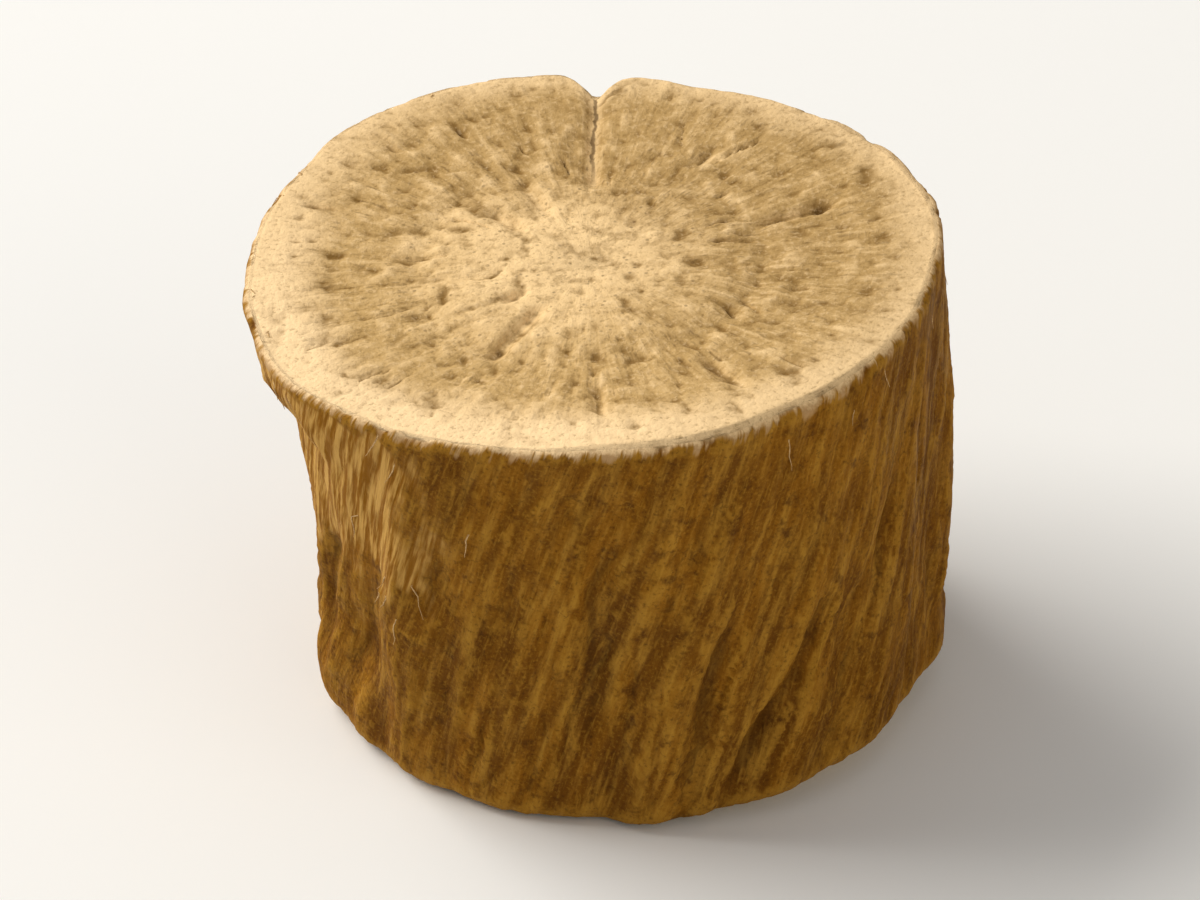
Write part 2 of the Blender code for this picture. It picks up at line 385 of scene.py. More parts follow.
def scattered(seed, count, scatter, limits):
    """Each mark's bearing, in its own part of the circle, and one value within each of the limits."""
    draw = random.Random(seed)
    for mark in range(count):
        where = 2.0 * math.pi * (mark + draw.uniform(*scatter)) / count
        yield where, *(draw.uniform(*pair) for pair in limits)


def bump(distance, half_width):
    """1 in the middle and next to nothing two half widths away."""
    return np.exp(-((distance / half_width) ** 2))


def wedge(distance, half_width):
    """A narrow split's section, which is sharp at its bottom."""
    return np.clip(1.0 - np.abs(distance) / half_width, 0.0, 1.0)


def turn_between(bearing, other):
    """The shortest signed turn from one bearing to another."""
    return (bearing - other + math.pi) % (2.0 * math.pi) - math.pi


def polar(bearing, radius, high=0.0):
    """Points at bearings and radii round the axis."""
    x, y = np.cos(bearing) * radius, np.sin(bearing) * radius
    return np.stack(np.broadcast_arrays(x, y, high), axis=1)


def drift(spots, size, seed):
    """Smooth noise from about -1 to 1, with features of that size along each axis."""
    spots = spots / np.asarray(size, dtype=float)
    cell = np.floor(spots).astype(np.int64)
    part = spots - cell
    ease = part**3 * (part * (6.0 * part - 15.0) + 10.0)
    total = np.zeros(len(spots))
    for corner in np.ndindex(2, 2, 2):
        key = np.bitwise_xor.reduce((cell + corner) * STRIDES, axis=1) + seed * SEED_STRIDE
        weight = np.prod(np.where(corner, ease, 1.0 - ease), axis=1)
        total += weight * np.einsum("ij,ij->i", part - corner, SLOPES[key % len(SLOPES)])
    return DRIFT_GAIN * total


def outline(bearing):
    """Radius of the out-of-round root as a share of its mean."""
    share = np.ones_like(bearing)
    for count, size, where in LOBES:
        share += size * np.cos(count * (bearing - where))
    return share


def calm_ends(height):
    """Share of the bark's relief that is left at a height share."""
    top = 1.0 - (1.0 - RIM_CALM) * smooth_step(RIM_CALM_FROM, 1.0, height)
    return top * (1.0 - (1.0 - BASE_CALM) * smooth_step(BASE_CALM_FROM, 0.0, height))


def along_bark(ends, low, span, fade, height):
    """1 over the height that one furrow or wrinkle spans, which may pass the cut edges."""
    low = ends[0] + (ends[1] - span - ends[0]) * low
    return within(low, low + span, fade, height)


def bark_relief(shape, bearing, height):
    """How far the bark stands out from the plain outline, at a height share."""
    out = shape.belly * np.sin(math.pi * np.clip(height, 0.0, 1.0))
    calm = calm_ends(height)
    for count, size, phase, turn in WAVES:
        out += size * np.cos(count * (bearing - turn * height) + phase) * calm
    for where, half_width, depth, span, low, twist, sway, phase in scattered(*FURROWS):
        path = where + twist * (height - 0.5) + sway * np.sin(SWAY_TURNS * height + phase)
        away = turn_between(bearing, path) * shape.face_radius
        out -= depth * bump(away, half_width) * along_bark(FURROW_ENDS, low, span, FADE, height) * calm
    away = turn_between(bearing, CRACK_BEARING) * shape.face_radius
    out -= NOTCH_DEPTH * bump(away, NOTCH_HALF_WIDTH) * smooth_step(1.0 - NOTCH_SPAN, 1.0, height)
    return out - PEEL_DEPTH * peel(bearing, height)


def peel(bearing, height):
    """1 where the scale of bark is missing, 0 where the bark is whole."""
    (low, high), (fade_low, fade_high) = PEEL_SPAN, PEEL_FADE
    away = turn_between(bearing, PEEL_BEARING)
    high = high + PEEL_RAG * np.sin(PEEL_TEETH[0] * away) * np.cos(PEEL_TEETH[1] * away)
    side = smooth_step(PEEL_SPREAD, PEEL_SPREAD / 2.0, np.abs(away))
    return side * smooth_step(low, low + fade_low, height) * smooth_step(high, high - fade_high, height)


def cut_relief(shape, bearing, share, seed):
    """How far a cut face lies below its rim."""
    inside = 1.0 - smooth_step(RIM_SHARE - RIM_SLOPE, RIM_SHARE, share)
    wood = 1.0 - smooth_step(RING_SHARE - CORE_SLOPE, RING_SHARE, share)
    down = SUNK * inside - CORE_RISE * wood
    down += RING_DEPTH * bump(share - RING_SHARE, RING_WIDTH)
    down += PITH_DEPTH * bump(share, PITH_SHARE)
    phase = RAYS * bearing + RAY_WANDER * np.sin(3.0 * bearing + seed)
    down += RAY_DEPTH * np.cos(phase) * smooth_step(RING_SHARE, RAYS_FROM, share) * inside
    for where, start, long, depth in scattered(seed, *FISSURES):
        away = turn_between(bearing, where) * share * shape.face_radius
        ends = within(start, start + long, FISSURE_FADE, share)
        down += depth * bump(away, FISSURE_HALF_WIDTH) * ends
    return down


def crack_relief(shape, bearing, share):
    """Depth of the one crack that runs to the rim."""
    away = turn_between(bearing, CRACK_BEARING) * share * shape.face_radius
    start = smooth_step(CRACK_START, CRACK_START + CRACK_FADE, share)
    return CRACK_DEPTH * bump(away, CRACK_HALF_WIDTH) * start


def crack_sway(places):
    """Radians by which the crack strays from its bearing on its way to the rim."""
    size, reach = CRACK_SWAY
    spots = np.outer(places.radius, (1.0, 0.0, 0.0))
    turn = drift(spots, size, CRACK_SEED) * reach / np.maximum(places.radius, size)
    return turn * smooth_step(*CRACK_CALM, places.share)


class Places:
    """Where points of the plain drum lie on the root."""

    def __init__(self, points, shape):
        x, y, self.z = points.T
        self.bearing = np.arctan2(y, x)
        self.radius = np.hypot(x, y)
        self.share = self.radius / shape.face_radius
        self.height = self.z / shape.height
        self.on_face = self.height > 1.0 - ON_CUT
        self.on_base = self.height < ON_CUT
        self.on_wall = ~(self.on_face | self.on_base)

    def only(self, mask):
        """The same for some of the points."""
        part = object.__new__(Places)
        for name, values in vars(self).items():
            setattr(part, name, values[mask])
        return part

    def flat(self):
        """Points spread over the cut face."""
        return polar(self.bearing, self.radius)


def warp(shape, bearing, share):
    """How far the lower cut has drawn up from the ground between its low places."""
    x, y = share * np.cos(bearing), share * np.sin(bearing)
    low = np.zeros_like(bearing)
    for where, out in FEET:
        away = np.hypot(x - out * math.cos(where), y - out * math.sin(where)) * shape.base_radius
        low = np.maximum(low, smooth_step(FOOT_SPREAD, FOOT_FLAT, away))
    return WARP * (1.0 - low)


def place_root(places, shape):
    """The root's form, as in the solid."""
    bearing, share, height = places.bearing, places.share, places.height
    mean = shape.base_radius + (shape.face_radius - shape.base_radius) * height
    outer = smooth_step(BARK_FROM, 1.0, share)
    radius = share * mean * outline(bearing) + outer * bark_relief(shape, bearing, height)
    x = radius * np.cos(bearing) + shape.base_shift * (1.0 - height)
    y = radius * np.sin(bearing)
    z = places.z + height * shape.face_rise * radius * np.cos(bearing)

    relief = cut_relief(shape, bearing, share, FISSURE_SEED)
    relief += crack_relief(shape, bearing + crack_sway(places), share)
    for count, size, phase in SWELLS:
        relief += size * share * np.sin(count * bearing + phase)
    z -= np.where(places.on_face, relief, 0.0)

    hollow = cut_relief(shape, bearing, share, FISSURE_SEED + 1) - SUNK - RAY_DEPTH
    z += np.where(places.on_base, np.maximum(hollow, 0.0) + warp(shape, bearing, share), 0.0)
    worn = smooth_step(WORN_SPREAD, 0.0, np.abs(turn_between(bearing, WORN_BEARING)))
    outer = smooth_step(WORN_FROM, 1.0, share)
    z += shape.worn_corner * worn * outer * smooth_step(WORN_UP_TO, 0.0, height)
    return np.column_stack((x, y, z))


def bared(places, shape):
    """1 where the bark's outer scale is missing, with a ragged edge."""
    spots = polar(places.bearing, shape.face_radius, places.z)
    ragged = sum(
        weight * drift(spots, size, BARE_SEED + rag) for rag, (size, weight) in enumerate(BARE_RAGS)
    )
    side = smooth_step(BARE_SPREAD, 0.0, np.abs(turn_between(places.bearing, BARE_BEARING)))
    high = smooth_step(*BARE_FROM, places.height) * smooth_step(*BARE_UP_TO, places.height)
    return smooth_step(*BARE_EDGE, side * high + ragged)


def bark_detail(places, shape):
    """Ridges, wrinkles, cork scales and scars of the bark, outwards."""
    spots = polar(places.bearing, shape.face_radius, places.z)
    size, reach = BARK_SWAY
    sway = reach / shape.face_radius * drift(spots, size, SWAY_SEED)
    turned = places.bearing - BARK_TURN * places.height + sway
    spots = polar(turned, shape.face_radius, places.z)
    out = np.zeros_like(turned)
    for seed, (width, along, height) in enumerate(BARK_RIDGES):
        ridge = np.minimum(np.abs(drift(spots, (width, width, along), seed)) / RIDGE_EDGE, 1.0)
        out -= height * (1.0 - ridge) ** 2
    width, along, height = BARK_GRAIN
    out += height * drift(spots, (width, width, along), GRAIN_SEED)
    width, along = CORK_SIZE
    size, weight = CORK_RAGS
    cork = drift(spots, (width, width, along), CORK_SEED) + weight * drift(spots, size, CORK_SEED + 1)
    out += CORK_HEIGHT * smooth_step(*CORK_EDGE, cork)

    for where, half_width, depth, span, low, twist in scattered(*WRINKLES):
        path = where + twist * (places.height - 0.5)
        away = turn_between(places.bearing + sway, path) * shape.face_radius
        ends = along_bark(WRINKLE_ENDS, low, span, WRINKLE_FADE, places.height)
        out -= depth * wedge(away, half_width) * ends

    draw = random.Random(SCAR_SEED)
    for _ in range(SCARS):
        where, high = draw.uniform(0.0, 2.0 * math.pi), draw.uniform(*SCAR_SPAN)
        half_length, half_width = draw.uniform(*SCAR_HALF_LENGTH), draw.uniform(*SCAR_HALF_WIDTH)
        around = turn_between(places.bearing, where) * shape.face_radius / half_length
        along = (places.z - high * shape.height) / half_width
        spread = np.hypot(around, along)
        out += SCAR_HEIGHT * (bump(spread, SCAR_LIP) - SCAR_SLIT_DEPTH * bump(spread, SCAR_SLIT))

    chip = smooth_step(*CHIP_EDGE, drift(spots, CHIP_SIZE, CHIP_SEED))
    out -= CHIP_DEPTH * chip * smooth_step(CHIP_FROM, 1.0, places.height)
    bare = bared(places, shape)
    fibrous = BARE_FIBRE_HEIGHT * drift(spots, BARE_FIBRES, BARE_FIBRE_SEED) - BARE_DEPTH
    out = out * (1.0 - BARE_CALM * bare) + fibrous * bare
    return out * (1.0 - TOP_CALM * smooth_step(*TOP_CALM_SPAN, places.height)
                  - FOOT_CALM * smooth_step(*FOOT_CALM_SPAN, places.height))


def streaks(places, shape, seed):
    """Noise in streaks that run outwards, about as wide near the middle as at the rim."""
    width, along = STREAK
    level = np.log2(np.maximum(places.share, 2.0 ** (1 - STREAK_OCTAVES)))
    total = np.zeros_like(level)
    for octave in range(STREAK_OCTAVES):
        around = shape.face_radius / width / 2.0**octave
        spots = polar(places.bearing, around, places.radius / along)
        total += np.clip(1.0 - np.abs(level + octave), 0.0, 1.0) * drift(spots, 1.0, seed + octave)
    return total


def cut_speckle(places, shape, seed):
    """The clumped fibres of a cut face, from about -1 in gaps to 1 on clumps."""
    flat = places.flat()
    speckle = STREAK_WEIGHT * streaks(places, shape, CUT_SEEDS * seed + STREAK_SEED)
    speckle *= smooth_step(*STREAKS_FROM, places.share)
    size, reach = GRAIN_WARP
    bent = flat.copy()
    for axis in range(2):
        bent[:, axis] += reach * drift(flat, size, CUT_SEEDS * seed + WARP_SEED + axis)
    for grain, (size, weight) in enumerate(GRAINS):
        speckle += weight * drift(bent, size, CUT_SEEDS * seed + CLUMP_SEED + grain)
    return speckle


def cut_detail(places, seed, speckle):
    """Clumps, pits, splits and knife marks of a cut face, outwards."""
    share = places.share
    flat = places.flat()
    strength = 1.0 - RIM_SMOOTH * smooth_step(*RIM_SMOOTH_SPAN, share)
    strength -= CORE_SMOOTH * smooth_step(*CORE_SMOOTH_SPAN, share)
    out = SPECKLE_HEIGHT * speckle * strength
    out -= PIT_DEPTH * smooth_step(*PIT_EDGE, -speckle) * strength
    out += BROAD_HEIGHT * drift(flat, BROAD_SIZE, CUT_SEEDS * seed + BROAD_SEED)
    blade = polar(places.bearing - KNIFE_BEARING, places.radius)
    out += KNIFE_HEIGHT * drift(blade, KNIFE_SIZE, CUT_SEEDS * seed + KNIFE_SEED)

    size, reach = SPLIT_SWAY
    wander = reach * drift(flat, size, CUT_SEEDS * seed + SPLIT_SWAY_SEED)
    for where, half_width, depth, start, long in scattered(SPLIT_SEED + seed, *SPLITS):
        away = turn_between(places.bearing, where) * places.radius + wander
        ends = within(start, min(start + long, SPLIT_END), SPLIT_FADE, share)
        out -= depth * wedge(away, half_width) * ends
    return out


def numbers_of(items, name, width, kind=np.float32):
    values = np.empty(width * len(items), dtype=kind)
    items.foreach_get(name, values)
    return values.reshape(-1, width) if width > 1 else values


def vertex_array(mesh):
    return numbers_of(mesh.vertices, "co", 3).astype(float)


def normals_of(mesh):
    return numbers_of(mesh.vertex_normals, "vector", 3).astype(float)


def set_points(mesh, points):
    mesh.vertices.foreach_set("co", points.astype(np.float32).ravel())
    mesh.update()


def hollows(mesh, points, rounds, depth):
    """1 in hollows of that depth and -1 on crests, against the surface smoothed that many times."""
    first, second = numbers_of(mesh.edges, "vertices", 2, np.int32).T
    count = np.bincount(first, minlength=len(points)) + np.bincount(second, minlength=len(points))
    soft = points.copy()
    for _ in range(rounds):
        total = np.empty_like(soft)
        for axis in range(3):
            total[:, axis] = np.bincount(first, soft[second, axis], len(points))
            total[:, axis] += np.bincount(second, soft[first, axis], len(points))
        soft = (soft + total / count[:, None]) / 2.0
    down = np.einsum("ij,ij->i", soft - points, normals_of(mesh)) / depth
    return np.clip(down, -HOLLOW_LIMIT, HOLLOW_LIMIT)


def fit_to_solid(points):
    """Brings the finer root's box onto the solid's box."""
    low, high = points.min(axis=0), points.max(axis=0)
    return CAD_LOW + (points - low) * (CAD_HIGH - CAD_LOW) / (high - low)


def store(mesh, **fields):
    """Stores a number or a vector for each point, under each field's own name."""
    for name, values in fields.items():
        kind, part = ("FLOAT_VECTOR", "vector") if values.ndim > 1 else ("FLOAT", "value")
        attribute = mesh.attributes.new(name, kind, "POINT")
        attribute.data.foreach_set(part, values.astype(np.float32).ravel())


def name_active(name):
    """The active object, named, with a mesh of the same name."""
    thing = bpy.context.object
    thing.name = name
    thing.data.name = name
    return thing


def add_alone(name, primitive, **settings):
    """Adds a primitive with nothing else selected."""
    bpy.ops.object.select_all(action="DESELECT")
    primitive(**settings)
    return name_active(name)


def half_section(shape):
    """The plain drum's half section, from the middle of the base to the middle of the face."""
    flat, low = shape.face_radius - shape.lower_edge, shape.lower_edge
    points = [(0.0, 0.0)]
    points += [(flat * share, 0.0) for share in np.linspace(POLE_SHARE, 1.0, shape.base_rings)]
    for turn in np.linspace(0.0, math.pi / 2, LOWER_ARC)[1:]:
        points.append((flat + low * math.sin(turn), low * (1.0 - math.cos(turn))))
    high = shape.height - shape.upper_edge
    points += [(shape.face_radius, height) for height in np.linspace(low, high, shape.wall_rings)[1:]]
    edge = shape.upper_edge
    flat = shape.face_radius - edge
    for turn in np.linspace(0.0, math.pi / 2, UPPER_ARC)[1:]:
        points.append((flat + edge * math.cos(turn), high + edge * math.sin(turn)))
    rings = np.linspace(1.0, POLE_SHARE, shape.face_rings)[1:]
    return points + [(flat * share, shape.height) for share in rings] + [(0.0, shape.height)]


def spin_drum(shape, name):
    """Draws the half section by extruding one point, then spins it into the plain drum."""
    drum = add_alone(name, bpy.ops.mesh.primitive_plane_add, size=shape.face_radius)
    bpy.ops.object.mode_set(mode="EDIT")
    bpy.ops.mesh.select_all(action="SELECT")
    bpy.ops.mesh.merge(type="CENTER")
    section = half_section(shape)
    for (radius, height), (next_radius, next_height) in zip(section, section[1:]):
        step = (next_radius - radius, 0.0, next_height - height)
        bpy.ops.mesh.extrude_region_move(TRANSFORM_OT_translate={"value": step})
    bpy.ops.mesh.select_all(action="SELECT")
    bpy.ops.mesh.spin(
        steps=shape.divisions, angle=2.0 * math.pi, center=(0.0, 0.0, 0.0), axis=(0.0, 0.0, 1.0),
    )
    bpy.ops.mesh.select_all(action="SELECT")
    bpy.ops.mesh.remove_doubles(threshold=MERGE)
    bpy.ops.mesh.normals_make_consistent(inside=False)
    bpy.ops.object.mode_set(mode="OBJECT")
    return drum


def from_cut_edge(places, shape):
    """Millimetres over the surface from the nearer cut edge, above 0 on the bark's side."""
    low, high = shape.lower_edge, shape.height - shape.upper_edge
    flat = shape.face_radius - low
    lower_arc = low * np.arctan2(places.radius - flat, low - places.z)
    lower = np.where(places.z > low, low * math.pi / 2 + places.z - low, lower_arc)
    lower = np.where(places.on_base, places.radius - flat, lower)
    flat = shape.face_radius - shape.upper_edge
    upper_arc = shape.upper_edge * np.arctan2(places.radius - flat, places.z - high)
    upper = np.where(places.z < high, shape.upper_edge * math.pi / 2 + high - places.z, upper_arc)
    upper = np.where(places.on_face, places.radius - flat, upper)
    return np.where(places.height > 0.5, upper - shape.upper_edge / 2, lower) / MM


def lay_out(mesh, places, shape):
    """A flat map of the surface: a strip of bark, and a disc for each cut face."""
    corner_vertex = numbers_of(mesh.loops, "vertex_index", 1, np.int32)
    sides = numbers_of(mesh.polygons, "loop_total", 1, np.int32)
    polygon = np.repeat(np.arange(len(sides)), sides)
    first = np.concatenate(([0], np.cumsum(sides)[:-1]))

    turn = places.bearing[corner_vertex] / (2.0 * math.pi)
    highest = np.maximum.reduceat(turn, first)[polygon]
    turn = np.where(highest - turn > 0.5, turn + 1.0, turn)
    section = places.z + np.where(places.z < shape.height / 2, places.radius, -places.radius)
    rise = (section - section[places.on_wall].min()) / np.ptp(section[places.on_wall])
    (left, below), (wide, high) = STRIP_CORNER, STRIP_SIZE
    flat_map = np.column_stack((left + wide * (turn + 0.5), below + high * rise[corner_vertex]))

    spread = polar(places.bearing, DISC_RADIUS * places.share)[:, :2]
    for on_disc, middle in zip((places.on_face, places.on_base), DISC_MIDDLES):
        whole = np.logical_and.reduceat(on_disc[corner_vertex], first)[polygon]
        flat_map[whole] = (spread + middle)[corner_vertex[whole]]
    layer = mesh.uv_layers.new(name="OFBake")
    layer.uv.foreach_set("vector", flat_map.astype(np.float32).ravel())


class Nodes:
    """Adds linked nodes to one node tree."""

    def __init__(self, tree):
        self.tree = tree

    def add(self, kind, inputs=(), **settings):
        made = self.tree.nodes.new(kind)
        for name, value in settings.items():
            setattr(made, name, value)
        self.feed(made.inputs, inputs)
        return made

    def feed(self, sockets, values):
        """Links each value to its socket, or sets the socket where the value is a plain one."""
        for name, value in dict(values).items():
            if isinstance(value, bpy.types.NodeSocket):
                self.tree.links.new(value, sockets[name])
            else:
                sockets[name].default_value = value

    def attribute(self, name, output="Fac"):
        return self.add("ShaderNodeAttribute", attribute_name=name).outputs[output]

    def marks(self, labels):
        """The attributes that the labels name, each under its label."""
        return {label: self.attribute(label.lower().replace(" ", "_")) for label in labels}

    def math(self, operation, first, second=0.0):
        return self.add("ShaderNodeMath", {0: first, 1: second}, operation=operation).outputs["Value"]

    def times(self, first, second):
        return self.math("MULTIPLY", first, second)

    def plus(self, first, second):
        return self.math("ADD", first, second)

    def minus(self, first, second):
        return self.math("SUBTRACT", first, second)

    def vector_math(self, operation, inputs):
        return self.add("ShaderNodeVectorMath", inputs, operation=operation).outputs[0]

    def span(self, value, low, high, to_low=0.0, to_high=1.0):
        """Maps a value smoothly from one range to another."""
        sockets = {"Value": value, "From Min": low, "From Max": high, "To Min": to_low, "To Max": to_high}
        return self.add("ShaderNodeMapRange", sockets, interpolation_type="SMOOTHSTEP").outputs["Result"]

    def mix(self, share, first, second):
        return self.add("ShaderNodeMix", {0: share, 6: first, 7: second}, data_type="RGBA").outputs[2]

    def layers(self, base, steps):
        """Lays colours over a base, each with its strength as its value goes from low to high."""
        for value, low, high, strength, colour in steps:
            base = self.mix(self.span(value, low, high, 0.0, strength), base, colour)
        return base

    def noise(self, vector, size, detail, roughness):
        """Noise with features of that size in the vector's own unit."""
        sockets = {"Vector": vector, "Scale": 1.0 / size, "Detail": detail, "Roughness": roughness}
        return self.add("ShaderNodeTexNoise", sockets).outputs["Fac"]

    def cells(self, vector, size, feature="F1"):
        """Distance from the middles, or from the walls, of cells of that size."""
        sockets = {"Vector": vector, "Scale": 1.0 / size}
        return self.add("ShaderNodeTexVoronoi", sockets, feature=feature).outputs["Distance"]

    def stretch(self, vector, around, along):
        """The vector with its X and Y scaled alike and its Z by itself."""
        factors = self.add("ShaderNodeCombineXYZ", {"X": around, "Y": around, "Z": along}).outputs[0]
        return self.vector_math("MULTIPLY", {0: vector, 1: factors})

    def shift(self, vector, place, size, reach):
        """The vector moved about by noise, so that what it draws isn't straight."""
        noise = self.add("ShaderNodeTexNoise", {"Vector": place, "Scale": 1.0 / size, "Detail": 1.0})
        moved = self.vector_math("SUBTRACT", {0: noise.outputs["Color"], 1: (0.5, 0.5, 0.5)})
        moved = self.vector_math("SCALE", {0: moved, "Scale": reach})
        return self.vector_math("ADD", {0: vector, 1: moved})

    def relief(self, height, strength, distance):
        sockets = {"Height": height, "Strength": strength, "Distance": distance}
        return self.add("ShaderNodeBump", sockets).outputs["Normal"]

    def group(self, tree, inputs):
        return self.add("ShaderNodeGroup", inputs, node_tree=tree).outputs

    def grained(self, tree, place, around, along):
        """What the grain group puts out for grain stretched that much."""
        return self.group(tree, {"Grain Place": place, "Around": around, "Along": along})


# Sockets of the shared groups
SURFACE = {"Grain Place": "Vector", "Place": "Vector", "Near Hollow": "Float", "Far Hollow": "Float"}
CUT_MARKS = dict.fromkeys(
    ("Radius Share", "Core Share", "From Edge", "Weathered", "Crack", "Crack Away", "Speckle"), "Float",
)
FINISH = {"Color": "Color", "Roughness": "Float", "Height": "Float"}


def new_group(name, inputs, outputs):
    """An empty node group with named sockets: its nodes, what it is given and what it puts out."""
    tree = bpy.data.node_groups.new(name, "ShaderNodeTree")
    for side, sockets in (("INPUT", inputs), ("OUTPUT", outputs)):
        for label, kind in sockets.items():
            tree.interface.new_socket(label, in_out=side, socket_type="NodeSocket" + kind)
    nodes = Nodes(tree)
    given = nodes.add("NodeGroupInput").outputs
    return nodes, given[:len(inputs)], nodes.add("NodeGroupOutput").inputs


def grain_group():
    """Grain stretched along the root, along the rays of a cut face or along a fibre."""
    nodes, given, out = new_group(
        "Stretched grain",
        {"Grain Place": "Vector", "Around": "Float", "Along": "Float"},
        {"Lines": "Float", "Mottle": "Float"},
    )
    moved = nodes.stretch(*given)
    nodes.feed(out, {
        "Lines": nodes.noise(moved, 1.0, 3.0, 0.62),
        "Mottle": nodes.noise(moved, 4.5, 2.0, 0.5),
    })
    return nodes.tree


def bark_group(colours, grain):
    """Colour, roughness and fine height of the bark."""
    nodes, (grain_place, place, near, far), out = new_group("Bark finish", SURFACE, FINISH)
    broad, lines, fine = (
        nodes.grained(grain, grain_place, around, along / MM)["Lines"]
        for around, along in ((8.0, 0.32), (26.0, 0.75), (75.0, 2.4))
    )
    clouds = nodes.noise(place, 2.4 * MM, 2.0, 0.5)
    patches = nodes.noise(place, 0.80 * MM, 3.0, 0.62)
    mottles = nodes.noise(place, 0.34 * MM, 3.0, 0.68)
    dust = nodes.noise(place, 0.055 * MM, 2.0, 0.6)
    walls = nodes.shift(nodes.stretch(grain_place, 17.0, 1.1 / MM), place, 0.25 * MM, 0.9)
    walls = nodes.cells(walls, 1.0, "DISTANCE_TO_EDGE")
    cracked = nodes.times(nodes.span(walls, 0.075, 0.02), nodes.span(patches, 0.44, 0.56, 0.15, 0.9))
    body = nodes.mix(nodes.span(broad, 0.34, 0.62), colours.bark_dark, colours.bark_body)
    body = nodes.layers(body, (
        (clouds, 0.52, 0.66, 0.45, colours.bark_dark),
        (patches, 0.50, 0.74, 0.40, colours.bark_crest),
        (lines, 0.46, 0.76, 0.75, colours.bark_crest),
        (lines, 0.50, 0.28, 0.60, colours.bark_dark),
        # painted highlight: crests of the bark, where it stands above its smoothed self, are painted paler
        (near, -0.15, -1.1, 0.50, colours.bark_crest),
        (mottles, 0.50, 0.72, 0.75, colours.bark_dark),
        (mottles, 0.60, 0.78, 0.50, colours.furrow),
        (fine, 0.52, 0.70, 0.35, colours.bark_crest),
        (dust, 0.52, 0.72, 0.30, colours.bark_crest),
        (dust, 0.46, 0.28, 0.45, colours.furrow),
    ))
    # painted shade: hollows of the bark are painted towards the furrow colour, together with the darker
    # fine grain and the fine crack pattern
    painted_shade_and_cracks = nodes.plus(nodes.times(near, 0.5), nodes.times(far, 0.6))
    painted_shade_and_cracks = nodes.plus(painted_shade_and_cracks, nodes.span(fine, 0.5, 0.25, 0.0, 0.40))
    painted_shade_and_cracks = nodes.plus(painted_shade_and_cracks, nodes.times(cracked, 0.7))
    height = nodes.plus(nodes.times(lines, 1.4), nodes.times(fine, 1.4))
    nodes.feed(out, {
        "Color": nodes.mix(nodes.span(painted_shade_and_cracks, 0.25, 1.80, 0.0, 0.55), body, colours.furrow),
        "Roughness": nodes.span(lines, 0.3, 0.7, 0.88, 0.62),
        "Height": nodes.plus(height, nodes.times(dust, 0.35)),
    })
    return nodes.tree


